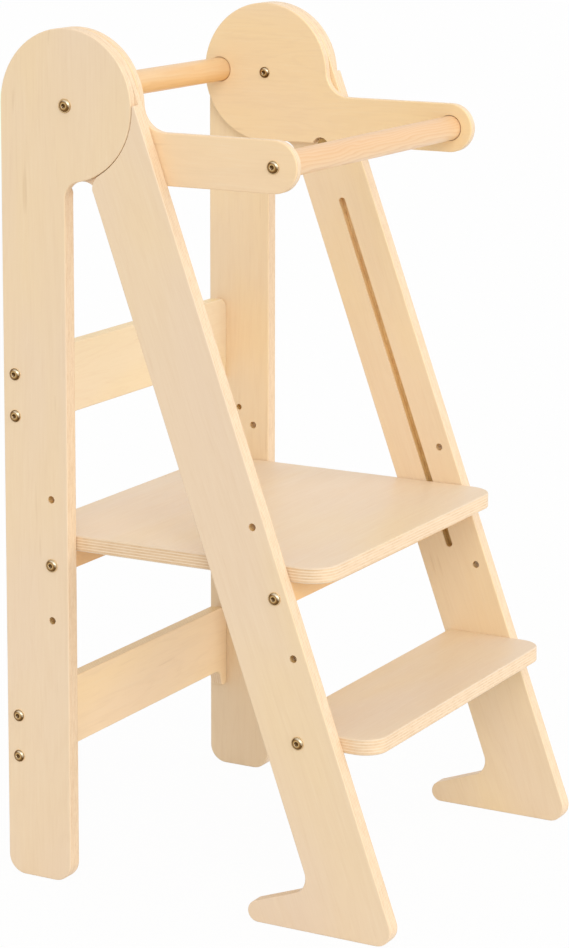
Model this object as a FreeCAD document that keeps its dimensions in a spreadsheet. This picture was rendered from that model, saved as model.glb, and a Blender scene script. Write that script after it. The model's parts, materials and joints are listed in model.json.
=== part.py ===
import FreeCAD, Part

import math
import os

import Sketcher

# Folding kitchen helper stool of birch plywood, millimetres.
# Z is up, -Y is the front (the step side), X runs across. The origin is on the floor, in the
# middle of the footprint. "forward" below is a distance towards -Y from the head pivot's axis.
# The two side frames are mirror images, so the right one (+X) is built and the left one mirrored.

doc = FreeCAD.newDocument("kitchen_helper_stool")
sheet = doc.addObject("Spreadsheet::Sheet", "dims")
sheet_rows = []


class Size:
    """A number with the sheet formula that it comes from."""

    def __init__(self, value, text):
        self.value = float(value)
        self.text = text

    def _with(self, other, sign, value):
        return Size(value, "(%s %s %s)" % (self.text, sign, as_size(other).text))

    def __add__(self, other):
        return self._with(other, "+", self.value + as_size(other).value)

    def __sub__(self, other):
        return self._with(other, "-", self.value - as_size(other).value)

    def __mul__(self, other):
        return self._with(other, "*", self.value * as_size(other).value)

    def __truediv__(self, other):
        return self._with(other, "/", self.value / as_size(other).value)

    def __radd__(self, other):
        return as_size(other) + self

    def __rsub__(self, other):
        return as_size(other) - self

    def __rmul__(self, other):
        return as_size(other) * self

    def __neg__(self):
        return 0 - self


def as_size(number):
    return number if isinstance(number, Size) else Size(number, repr(float(number)))


def root(number):
    return Size(math.sqrt(number.value), "sqrt(%s)" % number.text)


def sine(degrees):
    return Size(math.sin(math.radians(degrees.value)), "sin(%s * 1 deg)" % degrees.text)


def cosine(degrees):
    return Size(math.cos(math.radians(degrees.value)), "cos(%s * 1 deg)" % degrees.text)


def given(alias, value, words):
    """One driving dimension: a row of the sheet with an alias."""
    sheet_rows.append(alias)
    row = len(sheet_rows)
    sheet.set("A%d" % row, words)
    sheet.set("B%d" % row, repr(float(value)))
    sheet.setAlias("B%d" % row, alias)
    return Size(value, "dims." + alias)


# ---------------------------------------------------------------- driving dimensions

total_height = given("total_height", 900, "floor to top of the round heads")
inner_width = given("inner_width", 407, "between the inner faces of the two side frames")
leg_thickness = given("leg_thickness", 17, "leg plywood")
leg_width = given("leg_width", 77.5, "width of every leg")
fold_gap = given("fold_gap", 2, "between rear and front leg when folded side by side")
front_leg_angle = given("front_leg_angle", 20, "front leg from upright, degrees")
edge_round = given("edge_round", 1.5, "eased edge of every plywood outline")

lap_gap = given("lap_gap", 0.4, "between the two halves of a head")
lap_clearance = given("lap_clearance", 1, "round a head, radially")
lap_nose = given("lap_nose", 24, "blunt upper end of the lapped half, below the pivot")
web_radius = given("web_radius", 18, "hollow corner where a leg meets its head")

rear_foot_radius = given("rear_foot_radius", 20, "bottom corners of the rear leg")
spur_clearance = given("spur_clearance", 5.3, "heel spur below the rear foot when folded")
spur_root_radius = given("spur_root_radius", 18, "hollow corner above the heel spur")
heel_radius = given("heel_radius", 11.2, "tip of the heel spur")
toe_radius = given("toe_radius", 17, "front corner of the front foot")

rail_height = given("rail_height", 75, "back rail, above its ears")
rail_thickness = given("rail_thickness", 15, "back rail plywood")
rail_setback = given("rail_setback", 7, "rail's rear face inside the legs' rear edge")
upper_rail_bottom = given("upper_rail_bottom", 482.2, "height of the upper rail's lower edge")
lower_rail_bottom = given("lower_rail_bottom", 116.5, "height of the lower rail's lower edge")
rail_bolt_first = given("rail_bolt_first", 13, "lower bolt above the rail's lower edge")
rail_bolt_pitch = given("rail_bolt_pitch", 44, "between the two bolts at a rail's end")
ear_drop = given("ear_drop", 19.5, "ear below the rail's lower edge")
ear_width = given("ear_width", 10, "ear at its tip")
ear_radius = given("ear_radius", 11, "hollow corner inside the ear")
ear_tip_radius = given("ear_tip_radius", 4, "both corners of an ear's tip")
rail_crown = given("rail_crown", 13, "rounded upper corner of a rail")

platform_thickness = given("platform_thickness", 16.3, "standing board plywood")
platform_overhang = given("platform_overhang", 47, "standing board behind its pivot")
platform_nose = given("platform_nose", 47, "standing board in front of the front bar's bolt")
platform_side_gap = given("platform_side_gap", 1, "standing board to each side frame")
platform_corner = given("platform_corner", 30, "front corners of the standing board")
pivot_inset = given("pivot_inset", 20, "platform holes from the rear leg's front edge")
front_hole_inset = given("front_hole_inset", 14.2, "holes from the front leg's front edge")
hole_low = given("hole_low", 282, "height of the lowest platform hole")
hole_middle = given("hole_middle", 341, "height of the middle platform hole, in use")
hole_high = given("hole_high", 411, "height of the highest platform hole")
hole_radius = given("hole_radius", 4, "platform holes")
cleat_thickness = given("cleat_thickness", 17, "cross bars, back to front")
cleat_height = given("cleat_height", 22, "cross bars, upright")
cleat_rise = given("cleat_rise", 13.9, "top of a cross bar above its bolt")
cleat_screw_near = given("cleat_screw_near", 60, "inner screws from the middle")
cleat_screw_inset = given("cleat_screw_inset", 57.5, "outer screws from the bar's ends")
screw_bite = given("screw_bite", 10, "screw length in the standing board")
spare_hole_height = given("spare_hole_height", 430.5, "blind hole inside the rear leg")
spare_hole_radius = given("spare_hole_radius", 3.5, "blind hole inside the rear leg")
spare_hole_depth = given("spare_hole_depth", 8, "blind hole inside the rear leg")

slot_width = given("slot_width", 8, "guide slot in the front leg")
slot_depth = given("slot_depth", 9, "guide slot, blind")
slot_spare = given("slot_spare", 22.5, "slot beyond the highest folded position")
slot_spare_low = given("slot_spare_low", 2, "slot beyond the lowest position in use")
guide_pin_radius = given("guide_pin_radius", 2.5, "pin in the standing board's side")
guide_pin_bite = given("guide_pin_bite", 25, "pin length inside the board")
guide_pin_stub = given("guide_pin_stub", 0.5, "pin beyond the board's side")
bush_clearance = given("bush_clearance", 0.1, "bush to slot, each way")

step_top = given("step_top", 204, "height of the step's top")
step_thickness = given("step_thickness", 16.5, "step plywood")
step_depth = given("step_depth", 116.2, "step, back to front")
step_bolt_inset = given("step_bolt_inset", 37, "step bolt in front of the step's rear edge")
step_corner = given("step_corner", 25, "front corners of the step")
step_dowel_offset = given("step_dowel_offset", 24, "dowel in front of the step bolt")
step_dowel_radius = given("step_dowel_radius", 4, "dowel that stops the step turning")
step_dowel_bite = given("step_dowel_bite", 10, "dowel length inside the leg")
step_dowel_reach = given("step_dowel_reach", 20, "dowel length inside the step")

arm_thickness = given("arm_thickness", 10, "guard arm plywood")
guard_gap = given("guard_gap", 0.5, "guard arm to front leg")
arm_width = given("arm_width", 53.4, "guard arm, upright")
arm_lift = given("arm_lift", 1.7, "arm's lower edge above the foot of its disc")
arm_reach = given("arm_reach", 231.5, "front dowel in front of the pivot")
arm_fillet = given("arm_fillet", 28, "hollow corner where the arm meets its disc")
arm_blend = given("arm_blend", 60, "shallow hollow under the arm, where it leaves its disc")
dowel_radius = given("dowel_radius", 13.5, "both guard dowels")
dowel_back = given("dowel_back", 59, "rear dowel behind the pivot")
dowel_rise = given("dowel_rise", 1, "rear dowel above the pivot")
dowel_pocket = given("dowel_pocket", 3, "seat of a dowel in the arm")
dowel_fit = given("dowel_fit", 0.8, "dowel to its seat, radially")
notch_radius = given("notch_radius", 10.4, "notch in the arm's lower edge")
notch_forward = given("notch_forward", 71.3, "notch in front of the pivot")
notch_drop = given("notch_drop", 80.1, "notch below the pivot")
bumper_radius = given("bumper_radius", 7, "rest bumper on the front leg")
bumper_seat = given("bumper_seat", 0.3, "arm above its bumper at rest")
bumper_length = given("bumper_length", 7.5, "bumper out of the leg's inner face")
bumper_peg_radius = given("bumper_peg_radius", 3, "bumper's peg in the leg")
bumper_peg_length = given("bumper_peg_length", 10, "bumper's peg in the leg")

bolt_radius = given("bolt_radius", 3, "all cross bolts")
bolt_clearance = given("bolt_clearance", 0.25, "cross bolt to its hole, radially")
head_radius_flange = given("head_radius_flange", 7.5, "bolt head flange")
head_radius_dome = given("head_radius_dome", 5.9, "bolt head dome, at its foot")
head_radius_shoulder = given("head_radius_shoulder", 5.1, "bolt head dome, half way up")
head_radius_crown = given("head_radius_crown", 3.6, "bolt head dome, at its top")
head_flange = given("head_flange", 1, "bolt head flange, thick")
head_height = given("head_height", 3, "bolt head, whole")
hex_radius = given("hex_radius", 2.3, "hexagon socket, to its corners")
hex_depth = given("hex_depth", 2, "hexagon socket")
barrel_radius = given("barrel_radius", 5, "barrel nut")
barrel_length = given("barrel_length", 12, "barrel nut")
barrel_inset = given("barrel_inset", 32, "barrel nut from the board's end")
barrel_fit = given("barrel_fit", 0.1, "barrel nut to its hole, radially")
bolt_past_nut = given("bolt_past_nut", 7, "bolt beyond the barrel nut's axis")
sleeve_wall = given("sleeve_wall", 1, "head pivot sleeve")
running_fit = given("running_fit", 0.05, "pivot pin to its bore, radially")
washer_radius = given("washer_radius", 15, "plastic washers round the head pivot")
washer_play = given("washer_play", 0.1, "washer thinner than its gap")
inner_flange_radius = given("inner_flange_radius", 6.6, "flange of the head pivot's inner screw")
screw_radius = given("screw_radius", 2, "wood screws")
screw_head_radius = given("screw_head_radius", 4, "wood screw head")
screw_head_height = given("screw_head_height", 1.6, "wood screw head")
screw_hole_fit = given("screw_hole_fit", 0.1, "wood screw to its hole, radially")
insert_radius = given("insert_radius", 4.5, "threaded insert in the front dowel")
insert_length = given("insert_length", 15, "threaded insert in the front dowel")
dowel_screw_bite = given("dowel_screw_bite", 28, "screw or bolt length inside a dowel")

# ---------------------------------------------------------------- what follows from them

half_gap = fold_gap / 2
bolt_hole_radius = bolt_radius + bolt_clearance
sleeve_radius = bolt_radius + sleeve_wall
disc_radius = leg_width + half_gap
pivot_height = total_height - disc_radius
leg_sin = sine(front_leg_angle)
leg_cos = cosine(front_leg_angle)

inner_x = inner_width / 2
outer_x = inner_x + leg_thickness
lap_depth = (leg_thickness + lap_gap) / 2
front_half_outer_x = inner_x + (leg_thickness - lap_gap) / 2
rear_half_inner_x = inner_x + lap_depth

# the toe's foremost point and the rear legs' rear edge bound the footprint
toe_forward = (disc_radius - toe_radius + (pivot_height - toe_radius) * leg_sin) / leg_cos + toe_radius
head_y = (toe_forward - disc_radius) / 2

# corners of a leg near its head: the hollow corner of the full half, and the rounded corner
# of the lapped half that clears it when folded
web_run = root(
    (disc_radius + web_radius) * (disc_radius + web_radius)
    - (web_radius - half_gap) * (web_radius - half_gap)
)
lap_radius = disc_radius + lap_clearance
corner_radius = web_radius - fold_gap
corner_across = half_gap + corner_radius
corner_run = root(
    (lap_radius + corner_radius) * (lap_radius + corner_radius) - corner_across * corner_across
)
corner_touch_across = corner_across * lap_radius / (lap_radius + corner_radius)
corner_touch_run = corner_run * lap_radius / (lap_radius + corner_radius)
leg_centre = half_gap + leg_width / 2

# front leg: "across" is square to it, forward of the pivot; "run" is down along it
spur_run = pivot_height + spur_clearance
spur_across = (spur_run * leg_cos - pivot_height) / leg_sin
toe_run = (pivot_height + disc_radius * leg_sin) / leg_cos


def run_at(across, height):
    """Down the front leg to where a line at this distance across it is at this height."""
    return (pivot_height + across * leg_sin - height) / leg_cos


def forward_at(across, run):
    return run * leg_sin + across * leg_cos


rail_rear_y = head_y + disc_radius - rail_setback
rail_bolt_across = disc_radius - rail_setback - rail_thickness / 2
rail_bolt_y = head_y + rail_bolt_across
pivot_across = half_gap + pivot_inset
pivot_y = head_y + pivot_across
platform_half = inner_x - platform_side_gap
board_bottom = hole_middle + cleat_rise
board_middle = board_bottom + platform_thickness / 2
platform_rear_y = pivot_y + platform_overhang

front_hole_across = disc_radius - front_hole_inset
front_hole_run = run_at(front_hole_across, hole_middle)
front_bar_y = head_y - forward_at(front_hole_across, front_hole_run)
platform_front_y = front_bar_y - platform_nose

# the guide pin sits in the board's mid-thickness, on the slot's centre line
guide_run = run_at(leg_centre, board_middle)
guide_y = head_y - forward_at(leg_centre, guide_run)
guide_rise = cleat_rise + platform_thickness / 2
guide_reach_squared = (pivot_y - guide_y) * (pivot_y - guide_y) + guide_rise * guide_rise
fold_reach = leg_centre + pivot_across
fold_rise = root(guide_reach_squared - fold_reach * fold_reach)
slot_low = run_at(leg_centre, hole_low + guide_rise) + slot_width / 2 + slot_spare_low
slot_high = pivot_height - (hole_high + fold_rise) - slot_width / 2 - slot_spare

step_middle = step_top - step_thickness / 2
step_bolt_run = run_at(leg_centre, step_middle)
step_bolt_y = head_y - forward_at(leg_centre, step_bolt_run)
step_rear_y = step_bolt_y + step_bolt_inset
step_front_y = step_rear_y - step_depth
step_dowel_y = step_bolt_y - step_dowel_offset
step_dowel_run = step_bolt_run + step_dowel_offset * leg_sin
step_dowel_across = leg_centre + step_dowel_offset * leg_cos

arm_outer_x = inner_x - guard_gap
arm_inner_x = arm_outer_x - arm_thickness
arm_half = arm_width / 2
arm_low = disc_radius - arm_lift
arm_drop = arm_low - arm_half
arm_top_drop = arm_low - arm_width
arm_meets = root(disc_radius * disc_radius - arm_top_drop * arm_top_drop)
arm_leaves = root(disc_radius * disc_radius - arm_low * arm_low)
front_dowel_y = head_y - arm_reach
front_dowel_z = pivot_height - arm_drop
rear_dowel_y = head_y + dowel_back
rear_dowel_z = pivot_height + dowel_rise
dowel_end_x = arm_inner_x + dowel_pocket

# the bumper touches the notch on the side that the guard's weight presses on
notch_distance = root(notch_forward * notch_forward + notch_drop * notch_drop)
bumper_shift = notch_radius - bumper_radius - bumper_seat
bumper_forward = notch_forward + bumper_shift * notch_drop / notch_distance
bumper_drop = notch_drop - bumper_shift * notch_forward / notch_distance
bumper_across = bumper_forward * leg_cos - bumper_drop * leg_sin
bumper_run = bumper_forward * leg_sin + bumper_drop * leg_cos

# ---------------------------------------------------------------- building helpers


def bind(feature, **sizes):
    """Ties properties, given with __ for a dot, to the sheet."""
    for name, number in sizes.items():
        feature.setExpression(name.replace("__", "."), as_size(number).text)


def place(feature, x=0, y=0, z=0):
    bind(feature, Placement__Base__x=x, Placement__Base__y=y, Placement__Base__z=z)


def node(feature, name):
    feature.Label = name
    nodes.append(feature)
    return feature


nodes = []

# Boards: a PartDesign body whose sketches lie on its origin planes.
# On YZ a sketch's axes are Y and Z and a pad grows towards +X; on XY they are X and Y, and a
# pad grows towards +Z; on XZ they are X and Z, and a pad grows towards -Y.


def new_body(name):
    return doc.addObject("PartDesign::Body", name)


def sketch_on(body, plane, offset):
    sketch = body.newObject("Sketcher::SketchObject", body.Name + "_sketch")
    support = next(f for f in body.Origin.OriginFeatures if f.Role == plane)
    sketch.AttachmentSupport = [(support, "")]
    sketch.MapMode = "FlatFace"
    sketch.AttachmentOffset = FreeCAD.Placement(
        FreeCAD.Vector(0, 0, as_size(offset).value), FreeCAD.Rotation()
    )
    bind(sketch, AttachmentOffset__Base__z=offset)
    return sketch


def tie_point(sketch, geometry, position, across=None, up=None):
    for kind, number in (("DistanceX", across), ("DistanceY", up)):
        if number is None:
            continue
        number = as_size(number)
        index = sketch.addConstraint(
            Sketcher.Constraint(kind, -1, 1, geometry, position, number.value)
        )
        sketch.setExpression("Constraints[%d]" % index, number.text)


def draw_polygon(sketch, corners):
    points = [FreeCAD.Vector(as_size(a).value, as_size(b).value, 0) for a, b in corners]
    count = len(points)
    for i in range(count):
        sketch.addGeometry(Part.LineSegment(points[i], points[(i + 1) % count]), False)
    for i in range(count):
        sketch.addConstraint(Sketcher.Constraint("Coincident", i, 2, (i + 1) % count, 1))
    for i, (across, up) in enumerate(corners):
        tie_point(sketch, i, 1, across, up)


def draw_circle(sketch, across, up, radius):
    across, up, radius = as_size(across), as_size(up), as_size(radius)
    centre = FreeCAD.Vector(across.value, up.value, 0)
    index = sketch.addGeometry(
        Part.Circle(centre, FreeCAD.Vector(0, 0, 1), radius.value), False
    )
    tie_point(sketch, index, 3, across, up)
    constraint = sketch.addConstraint(Sketcher.Constraint("Radius", index, radius.value))
    sketch.setExpression("Constraints[%d]" % constraint, radius.text)


def pad(body, sketch, length):
    feature = body.newObject("PartDesign::Pad", body.Name + "_pad")
    feature.Profile = sketch
    bind(feature, Length=length)
    sketch.Visibility = False
    doc.recompute()
    return feature


def pocket(body, sketch, depth):
    """Cuts towards the sketch's normal."""
    before = body.Shape.Volume
    feature = body.newObject("PartDesign::Pocket", body.Name + "_pocket")
    feature.Profile = sketch
    feature.Reversed = True
    bind(feature, Length=depth)
    sketch.Visibility = False
    doc.recompute()
    if not body.Shape.Volume < before - 0.01:
        raise RuntimeError("a pocket in %s cuts nothing" % body.Name)
    return feature


def edge_names(shape, test):
    return ["Edge%d" % (i + 1) for i, edge in enumerate(shape.Edges) if test(edge)]


def along(axis, at):
    """Picks the edges parallel to an axis (0, 1 or 2) through a point of the other two."""
    at = [as_size(number).value for number in at]

    def test(edge):
        ends = [vertex.Point for vertex in edge.Vertexes]
        if len(ends) != 2 or abs(edge.Length - abs(ends[0][axis] - ends[1][axis])) > 1e-4:
            return False
        others = [i for i in range(3) if i != axis]
        return all(
            abs(end[i] - number) < 0.01 for end in ends for i, number in zip(others, at)
        )

    return test


def in_planes(axis, levels):
    """Picks the edges that lie wholly in planes square to an axis."""
    levels = [as_size(number).value for number in levels]

    def test(edge):
        box = edge.BoundBox
        low = (box.XMin, box.YMin, box.ZMin)[axis]
        high = (box.XMax, box.YMax, box.ZMax)[axis]
        return any(abs(low - at) < 0.01 and abs(high - at) < 0.01 for at in levels)

    return test


def fillet(body, test, radius):
    names = edge_names(body.Tip.Shape, test)
    if not names:
        raise RuntimeError("no edge to round in %s" % body.Name)
    feature = body.newObject("PartDesign::Fillet", body.Name + "_fillet")
    feature.Base = (body.Group[-2], names)
    bind(feature, Radius=radius)
    doc.recompute()
    return feature


def drill(body, x, depth, holes, radius):
    """Round holes along X, from x towards +X; holes are (Y, Z) in the body's frame."""
    for y, z in holes:
        sketch = sketch_on(body, "YZ_Plane", x)
        draw_circle(sketch, y, z, radius)
        pocket(body, sketch, depth)


# Hardware and plain bars: primitives and booleans.


def block(name, low, high):
    feature = doc.addObject("Part::Box", name)
    bind(feature, Length=high[0] - low[0], Width=high[1] - low[1], Height=high[2] - low[2])
    place(feature, *low)
    return feature


def rod_x(name, start, end, y, z, radius, end_radius=None):
    """A cylinder along X, or a cone if it has a second radius."""
    if end_radius is None:
        feature = doc.addObject("Part::Cylinder", name)
        bind(feature, Radius=radius)
    else:
        feature = doc.addObject("Part::Cone", name)
        bind(feature, Radius1=radius, Radius2=end_radius)
    feature.Placement = FreeCAD.Placement(
        FreeCAD.Vector(), FreeCAD.Rotation(FreeCAD.Vector(0, 1, 0), 90)
    )
    bind(feature, Height=end - start)
    place(feature, start, y, z)
    return feature


def rod_y(name, x, start, end, z, radius):
    feature = doc.addObject("Part::Cylinder", name)
    feature.Placement = FreeCAD.Placement(
        FreeCAD.Vector(), FreeCAD.Rotation(FreeCAD.Vector(1, 0, 0), -90)
    )
    bind(feature, Radius=radius, Height=end - start)
    place(feature, x, start, z)
    return feature


def rod_z(name, x, y, start, end, radius):
    feature = doc.addObject("Part::Cylinder", name)
    bind(feature, Radius=radius, Height=end - start)
    place(feature, x, y, start)
    return feature


def fuse(name, pieces):
    feature = doc.addObject("Part::MultiFuse", name)
    feature.Shapes = pieces
    return feature


def cut(name, base, tools):
    feature = doc.addObject("Part::Cut", name)
    feature.Base = base
    feature.Tool = tools[0] if len(tools) == 1 else fuse(name + "_tools", tools)
    return feature


def compound(name, pieces):
    feature = doc.addObject("Part::Compound", name)
    feature.Links = pieces
    return feature


def mirrored(name, source):
    feature = doc.addObject("Part::Mirroring", name)
    feature.Source = source
    feature.Base = FreeCAD.Vector(0, 0, 0)
    feature.Normal = FreeCAD.Vector(1, 0, 0)
    return feature


def both_sides(name, pieces):
    """A node that holds these pieces and their mirror images."""
    return node(compound(name, pieces + [mirrored(name + "_mirrored", p) for p in pieces]), name)


def head_solids(name, foot, outwards, y, z, smaller):
    """Flange and dome of a bolt head on the plane X = foot; outwards is +1 or -1."""
    waist = (head_flange + head_height) / 2
    levels = [as_size(0), head_flange, waist, head_height]
    radii = [head_radius_flange, head_radius_dome, head_radius_shoulder, head_radius_crown]
    radii = [radius - smaller for radius in radii]
    solids = []
    for i, part in enumerate(("flange", "dome", "crown")):
        rings = [(levels[i], radii[i]), (levels[i + 1], radii[i + 1] if i else radii[i])]
        ends = [(foot + outwards * level, radius) for level, radius in rings]
        if outwards < 0:
            ends.reverse()
        (low, low_radius), (high, high_radius) = ends
        if i:
            solids.append(rod_x("%s_%s" % (name, part), low, high, y, z, low_radius, high_radius))
        else:
            solids.append(rod_x("%s_%s" % (name, part), low, high, y, z, low_radius))
    return solids


def button_head(name, x, y, z):
    """Flange and dome of a bolt head that stands on the plane X = x; and its socket."""
    solids = head_solids(name, x, 1, y, z, 0)
    socket = doc.addObject("Part::Prism", name + "_socket")
    socket.Polygon = 6
    socket.Placement = FreeCAD.Placement(
        FreeCAD.Vector(), FreeCAD.Rotation(FreeCAD.Vector(0, 1, 0), 90)
    )
    bind(socket, Circumradius=hex_radius, Height=hex_depth + 1)
    place(socket, x + head_height - hex_depth, y, z)
    return solids, socket


def button_bolt(name, under_head, tip, y, z, shoulder_end=None, shoulder_radius=None):
    """A bolt along X, head outwards, with an optional thicker shoulder under the head."""
    solids, socket = button_head(name, under_head, y, z)
    solids.append(rod_x(name + "_shank", tip, under_head + head_flange, y, z, bolt_radius))
    if shoulder_end is not None:
        solids.append(
            rod_x(name + "_shoulder", shoulder_end, under_head, y, z, shoulder_radius)
        )
    return cut(name, fuse(name + "_solid", solids), [socket])


def wood_screw(name, head, tip, axis, a, b):
    """A flat-headed screw from head to tip along X or Z; a and b are the other two places."""
    rod = rod_x if axis == "x" else rod_z
    turned = head.value > tip.value

    def piece(part, start, end, radius):
        low, high = (end, start) if turned else (start, end)
        if axis == "x":
            return rod(part, low, high, a, b, radius)
        return rod(part, a, b, low, high, radius)

    neck = head - screw_head_height if turned else head + screw_head_height
    return fuse(
        name,
        [
            piece(name + "_head", head, neck, screw_head_radius),
            piece(name + "_shank", head, tip, screw_radius),
        ],
    )


# ---------------------------------------------------------------- legs

# A leg is drawn in its own frame: the pivot's axis is the origin and the leg runs down -Z.
# side is +1 for the rear leg, whose body lies behind the pivot, and -1 for the front leg.


def leg_outline(body, side, outline):
    sketch = sketch_on(body, "YZ_Plane", inner_x)
    draw_polygon(sketch, outline)
    pad(body, sketch, leg_thickness)
    sketch = sketch_on(body, "YZ_Plane", inner_x)
    draw_circle(sketch, 0, 0, disc_radius)
    pad(body, sketch, leg_thickness)
    meets = root(disc_radius * disc_radius - half_gap * half_gap)
    fillet(body, along(0, (side * half_gap, -meets)), web_radius)


def lap(body, side, start):
    """Cuts one half of the thickness back to a clearance round the other leg's disc."""
    sketch = sketch_on(body, "YZ_Plane", start)
    draw_circle(sketch, 0, 0, lap_radius)
    pocket(body, sketch, lap_depth)
    beyond = lap_radius + 5
    sketch = sketch_on(body, "YZ_Plane", start)
    draw_polygon(
        sketch, [(0, -lap_nose), (side * beyond, -lap_nose), (side * beyond, beyond), (0, beyond)]
    )
    pocket(body, sketch, lap_depth)
    sketch = sketch_on(body, "YZ_Plane", start)
    draw_polygon(
        sketch,
        [
            (side * half_gap, -web_run),
            (side * half_gap, 0),
            (-side * beyond, 0),
            (-side * beyond, -web_run),
        ],
    )
    pocket(body, sketch, lap_depth)
    # the rounded corner: three lines and an arc that touches the leg's edge and the hollow
    sketch = sketch_on(body, "YZ_Plane", start)
    edge = side * half_gap
    touch_y, touch_z = side * corner_touch_across, -corner_touch_run
    centre_y, centre_z = side * corner_across, -corner_run
    points = [(edge, -corner_run), (edge, as_size(0)), (touch_y, as_size(0)), (touch_y, touch_z)]
    spots = [FreeCAD.Vector(a.value, b.value, 0) for a, b in points]
    for i in range(3):
        sketch.addGeometry(Part.LineSegment(spots[i], spots[i + 1]), False)
    centre = FreeCAD.Vector(centre_y.value, centre_z.value, 0)
    middle = (spots[0] - centre) + (spots[3] - centre)
    middle.normalize()
    arc = Part.Arc(spots[3], centre + middle * corner_radius.value, spots[0])
    sketch.addGeometry(arc, False)
    starts_at_touch = sketch.getPoint(3, 1).distanceToPoint(spots[3]) < 1e-6
    first, last = (1, 2) if starts_at_touch else (2, 1)
    sketch.addConstraint(Sketcher.Constraint("Coincident", 0, 2, 1, 1))
    sketch.addConstraint(Sketcher.Constraint("Coincident", 1, 2, 2, 1))
    sketch.addConstraint(Sketcher.Constraint("Coincident", 2, 2, 3, first))
    sketch.addConstraint(Sketcher.Constraint("Coincident", 3, last, 0, 1))
    tie_point(sketch, 0, 1, *points[0])
    tie_point(sketch, 1, 1, *points[1])
    tie_point(sketch, 2, 1, *points[2])
    tie_point(sketch, 2, 2, across=touch_y)
    tie_point(sketch, 3, 3, centre_y, centre_z)
    pocket(body, sketch, lap_depth)


rear_leg = new_body("rear_leg_right")
leg_outline(
    rear_leg,
    1,
    [
        (half_gap, -pivot_height),
        (disc_radius, -pivot_height),
        (disc_radius, as_size(0)),
        (half_gap, as_size(0)),
    ],
)
fillet(rear_leg, along(0, (half_gap, -pivot_height)), rear_foot_radius)
fillet(rear_leg, along(0, (disc_radius, -pivot_height)), rear_foot_radius)
fillet(rear_leg, in_planes(0, (inner_x, outer_x)), edge_round)
lap(rear_leg, 1, inner_x)
drill(rear_leg, rear_half_inner_x, lap_depth, [(0, 0)], sleeve_radius + running_fit)
rail_bolt_heights = [
    bottom + rail_bolt_first + rise
    for bottom in (upper_rail_bottom, lower_rail_bottom)
    for rise in (0, rail_bolt_pitch)
]
drill(
    rear_leg,
    inner_x,
    leg_thickness,
    [(rail_bolt_across, height - pivot_height) for height in rail_bolt_heights],
    bolt_hole_radius,
)
drill(
    rear_leg,
    inner_x,
    leg_thickness,
    [(pivot_across, height - pivot_height) for height in (hole_low, hole_middle, hole_high)],
    hole_radius,
)
drill(
    rear_leg,
    inner_x,
    spare_hole_depth,
    [(leg_centre, spare_hole_height - pivot_height)],
    spare_hole_radius,
)
place(rear_leg, 0, head_y, pivot_height)
node(rear_leg, "rear_leg_right")
node(mirrored("rear_leg_left", rear_leg), "rear_leg_left")

front_leg = new_body("front_leg_right")
leg_outline(
    front_leg,
    -1,
    [
        (-half_gap, as_size(0)),
        (-disc_radius, as_size(0)),
        (-disc_radius, -toe_run),
        (-spur_across, -spur_run),
        (-half_gap, -spur_run),
    ],
)
fillet(front_leg, along(0, (-disc_radius, -toe_run)), toe_radius)
fillet(front_leg, along(0, (-half_gap, -spur_run)), spur_root_radius)
fillet(front_leg, along(0, (-spur_across, -spur_run)), heel_radius)
fillet(front_leg, in_planes(0, (inner_x, outer_x)), edge_round)
lap(front_leg, -1, front_half_outer_x)
drill(front_leg, inner_x, lap_depth, [(0, 0)], sleeve_radius + running_fit)
drill(
    front_leg,
    inner_x,
    leg_thickness,
    [
        (-front_hole_across, -run_at(front_hole_across, height))
        for height in (hole_low, hole_middle, hole_high)
    ],
    hole_radius,
)
drill(front_leg, inner_x, leg_thickness, [(-leg_centre, -step_bolt_run)], bolt_hole_radius)
drill(front_leg, inner_x, step_dowel_bite, [(-step_dowel_across, -step_dowel_run)], step_dowel_radius)
drill(front_leg, inner_x, bumper_peg_length, [(-bumper_across, -bumper_run)], bumper_peg_radius)
slot_ends = [slot_high + slot_width / 2, slot_low - slot_width / 2]
slot_sketch = sketch_on(front_leg, "YZ_Plane", inner_x)
draw_polygon(
    slot_sketch,
    [
        (-(leg_centre - slot_width / 2), -slot_ends[0]),
        (-(leg_centre + slot_width / 2), -slot_ends[0]),
        (-(leg_centre + slot_width / 2), -slot_ends[1]),
        (-(leg_centre - slot_width / 2), -slot_ends[1]),
    ],
)
pocket(front_leg, slot_sketch, slot_depth)
drill(front_leg, inner_x, slot_depth, [(-leg_centre, -end) for end in slot_ends], slot_width / 2)
front_leg.Placement = FreeCAD.Placement(
    FreeCAD.Vector(0, head_y.value, pivot_height.value),
    FreeCAD.Rotation(FreeCAD.Vector(1, 0, 0), -front_leg_angle.value),
)
place(front_leg, 0, head_y, pivot_height)
front_leg.setExpression("Placement.Rotation.Angle", "-1 deg * dims.front_leg_angle")
node(front_leg, "front_leg_right")
node(mirrored("front_leg_left", front_leg), "front_leg_left")

# ---------------------------------------------------------------- bolts and barrel nuts

bolt_tip_x = inner_x - barrel_inset - bolt_past_nut
barrel_hole_depth = barrel_inset + bolt_past_nut + 2


def barrel_nut(name, x, y, z, upright=False):
    """A cross-drilled nut on the bolt's axis, lying back to front, or standing if upright."""
    half = barrel_length / 2
    if upright:
        body = rod_z(name + "_body", x, y, z - half, z + half, barrel_radius)
    else:
        body = rod_y(name + "_body", x, y - half, y + half, z, barrel_radius)
    reach = barrel_radius + 1
    thread = rod_x(name + "_thread", x - reach, x + reach, y, z, bolt_radius)
    return cut(name, body, [thread])


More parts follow.
